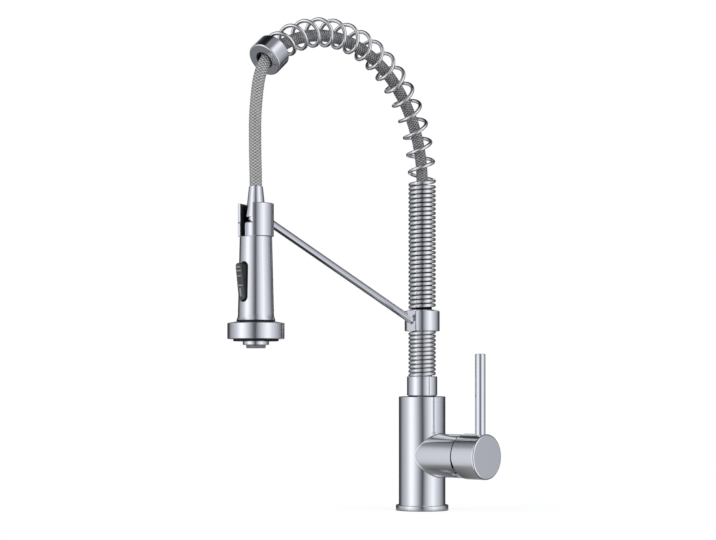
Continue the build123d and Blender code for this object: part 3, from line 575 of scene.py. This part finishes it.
# %% The hose in the arch
ARCH_RADIUS = 125.8 * MM
ARCH_BASE = 311 * MM
ARCH_END = 54            # degrees above the arch's far end
HOSE_FOOT = 121.9 * MM
HOSE_SAG = 3.2 * MM
SAG_DELAY = 1.6          # above 1, the hose hangs lowest past the middle of the arch
arch_line = [(0, 0, height) for height in np.arange(HOSE_FOOT, ARCH_BASE, 1 * MM)]
for degrees in np.arange(180, ARCH_END - 0.1, -0.5):
    turn = math.radians(degrees)
    past = (180 - degrees) / (180 - ARCH_END)
    radius = ARCH_RADIUS - HOSE_SAG * math.sin(math.pi * past ** SAG_DELAY)
    arch_line.append((0, -ARCH_RADIUS - radius * math.cos(turn), ARCH_BASE + radius * math.sin(turn)))
arch_hose = braided_sleeve("riser_hose_braid", arch_line, 0.5 * MM, 72, spring_shaded_braid)
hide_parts("riser_hose")
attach(arch_hose, "spout")

# %% [markdown]
# ## The spray button
#
# The head's rocker changes a straight stream for a spray. It is moulded in two shots: a hard black
# body with round ends, and a softer dark grey pad on its sloping face. A thumb finds its way by the
# pad's relief, three ribs at the top, a ridge near the pivot and an upright bar below it.
#
# The body starts as a block. A wide bevel rounds its ends, and a cut along a sloping plane gives
# the face, which is then set in and pushed out to make the pad.

# %% Mould the rocker
PIVOT = Vector((0, -235.5, 208.9)) * MM
HALF_WIDTH, HALF_HEIGHT = 3.3 * MM, 16.0 * MM
BACK, FRONT = -232.5 * MM, -244.4 * MM
FACE_FOOT = Vector((0, -238.8, 192.9)) * MM      # lower end of the slope under the pad
FACE_HEAD = Vector((0, -243.2, 224.9)) * MM
PAD_BORDER, PAD_DEPTH = 0.15 * MM, 1.3 * MM
END_FLAT = 0.03 * MM     # what the bevel leaves flat, so that its two sides don't meet

face_rise = (FACE_HEAD - FACE_FOOT).normalized()
face_out = Vector((0, -face_rise.z, face_rise.y))
bpy.ops.object.select_all(action="DESELECT")
bpy.ops.mesh.primitive_cube_add(size=1, location=(0, (BACK + FRONT) / 2, PIVOT.z))
rocker = bpy.context.object
rocker.name = "rocker_button_detailed"
rocker.scale = (2 * HALF_WIDTH, BACK - FRONT, 2 * HALF_HEIGHT)
bpy.ops.object.transform_apply(location=True, rotation=False, scale=True)
bpy.ops.object.mode_set(mode="EDIT")
bpy.ops.mesh.select_all(action="DESELECT")
mesh = bmesh.from_edit_mesh(rocker.data)
for edge in mesh.edges:
    run = edge.verts[0].co - edge.verts[1].co
    edge.select_set(abs(run.y) > abs(run.x) and abs(run.y) > abs(run.z))
bmesh.update_edit_mesh(rocker.data)
bpy.ops.mesh.bevel(offset=HALF_WIDTH - END_FLAT, segments=12, affect="EDGES")
bpy.ops.mesh.select_all(action="SELECT")
bpy.ops.mesh.bisect(plane_co=FACE_FOOT, plane_no=face_out, use_fill=True, clear_outer=True)
mesh = bmesh.from_edit_mesh(rocker.data)
for face in mesh.faces:
    face.select_set(face.normal.dot(face_out) > 0.999)
bmesh.update_edit_mesh(rocker.data)
bpy.ops.mesh.inset(thickness=PAD_BORDER, depth=0)
bpy.ops.mesh.extrude_region_move(TRANSFORM_OT_translate={"value": face_out * PAD_DEPTH})
bpy.ops.mesh.select_all(action="SELECT")
bpy.ops.mesh.normals_make_consistent(inside=False)
bpy.ops.object.mode_set(mode="OBJECT")

# %% [markdown]
# Each rib is a small block turned to the slope of the face and joined to the pad by a boolean. The
# pin's hole is cut the same way.

# %% Join the ribs and cut the pin's hole
RIB_ROUND = 0.18 * MM
PIN_HOLE_RADIUS = 1.08 * MM


def join_to_rocker(tool, operation):
    """Applies a boolean to the rocker and throws its tool away."""
    cut = rocker.modifiers.new("cut", "BOOLEAN")
    cut.object = tool
    cut.operation = operation
    cut.solver = "EXACT"
    bpy.context.view_layer.objects.active = rocker
    bpy.ops.object.modifier_apply(modifier=cut.name)
    bpy.data.objects.remove(tool)


# Height of each raised shape's middle, its width, its own height and how proud it stands, in mm
PAD_RELIEF = [
    (221.4, 4.8, 1.2, 0.45), (218.2, 5.8, 1.2, 0.45), (213.7, 5.8, 1.0, 0.35),
    (205.6, 6.2, 1.3, 0.60), (199.8, 1.9, 7.4, 0.45),
]
for height, width, tall, proud in PAD_RELIEF:
    up = (height * MM - FACE_FOOT.z) / face_rise.z
    middle = FACE_FOOT + face_rise * up + face_out * PAD_DEPTH
    bpy.ops.object.select_all(action="DESELECT")
    bpy.ops.mesh.primitive_cube_add(size=1, location=middle)
    rib = bpy.context.object
    rib.rotation_euler.x = math.atan2(-face_rise.y, face_rise.z)
    rib.scale = (width * MM, 2 * proud * MM, tall * MM)
    bpy.ops.object.transform_apply(location=True, rotation=True, scale=True)
    soften = rib.modifiers.new("soften", "BEVEL")
    soften.width = RIB_ROUND
    soften.segments = 2
    bpy.ops.object.modifier_apply(modifier=soften.name)
    join_to_rocker(rib, "UNION")
bpy.ops.object.select_all(action="DESELECT")
bpy.ops.mesh.primitive_cylinder_add(vertices=32, radius=PIN_HOLE_RADIUS, depth=4 * HALF_WIDTH,
                                    location=PIVOT, rotation=(0, math.radians(90), 0))
join_to_rocker(bpy.context.object, "DIFFERENCE")

# %% [markdown]
# Nothing moulded has a razor edge, so a last narrow bevel goes over every corner. Then the faces in
# front of the sloping plane get the pad's grey, and the tops of the ribs a lighter one, a painted
# highlight where light catches them.

# %% Soften and dress the rocker
EDGE_ROUND = 0.12 * MM
PAD_FROM, RIBS_FROM = 0.1 * PAD_DEPTH, 1.1 * PAD_DEPTH       # in front of the slope

soften = rocker.modifiers.new("soften", "BEVEL")
soften.width = EDGE_ROUND
soften.segments = 2
soften.limit_method = "ANGLE"
soften.angle_limit = math.radians(35)
bpy.ops.object.modifier_apply(modifier=soften.name)
rocker.data.materials.clear()
for finish in (acetal, elastomer, rib_highlight_elastomer):
    rocker.data.materials.append(finish)
for face in rocker.data.polygons:
    in_front = (face.center - FACE_FOOT).dot(face_out)
    face.material_index = int(in_front > PAD_FROM) + int(in_front > RIBS_FROM)
rocker.data.shade_smooth()
rocker.data.set_sharp_from_angle(angle=math.radians(30))
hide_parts("rocker_button")
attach(rocker, "button")
print(f"rocker: {len(rocker.data.polygons)} faces")
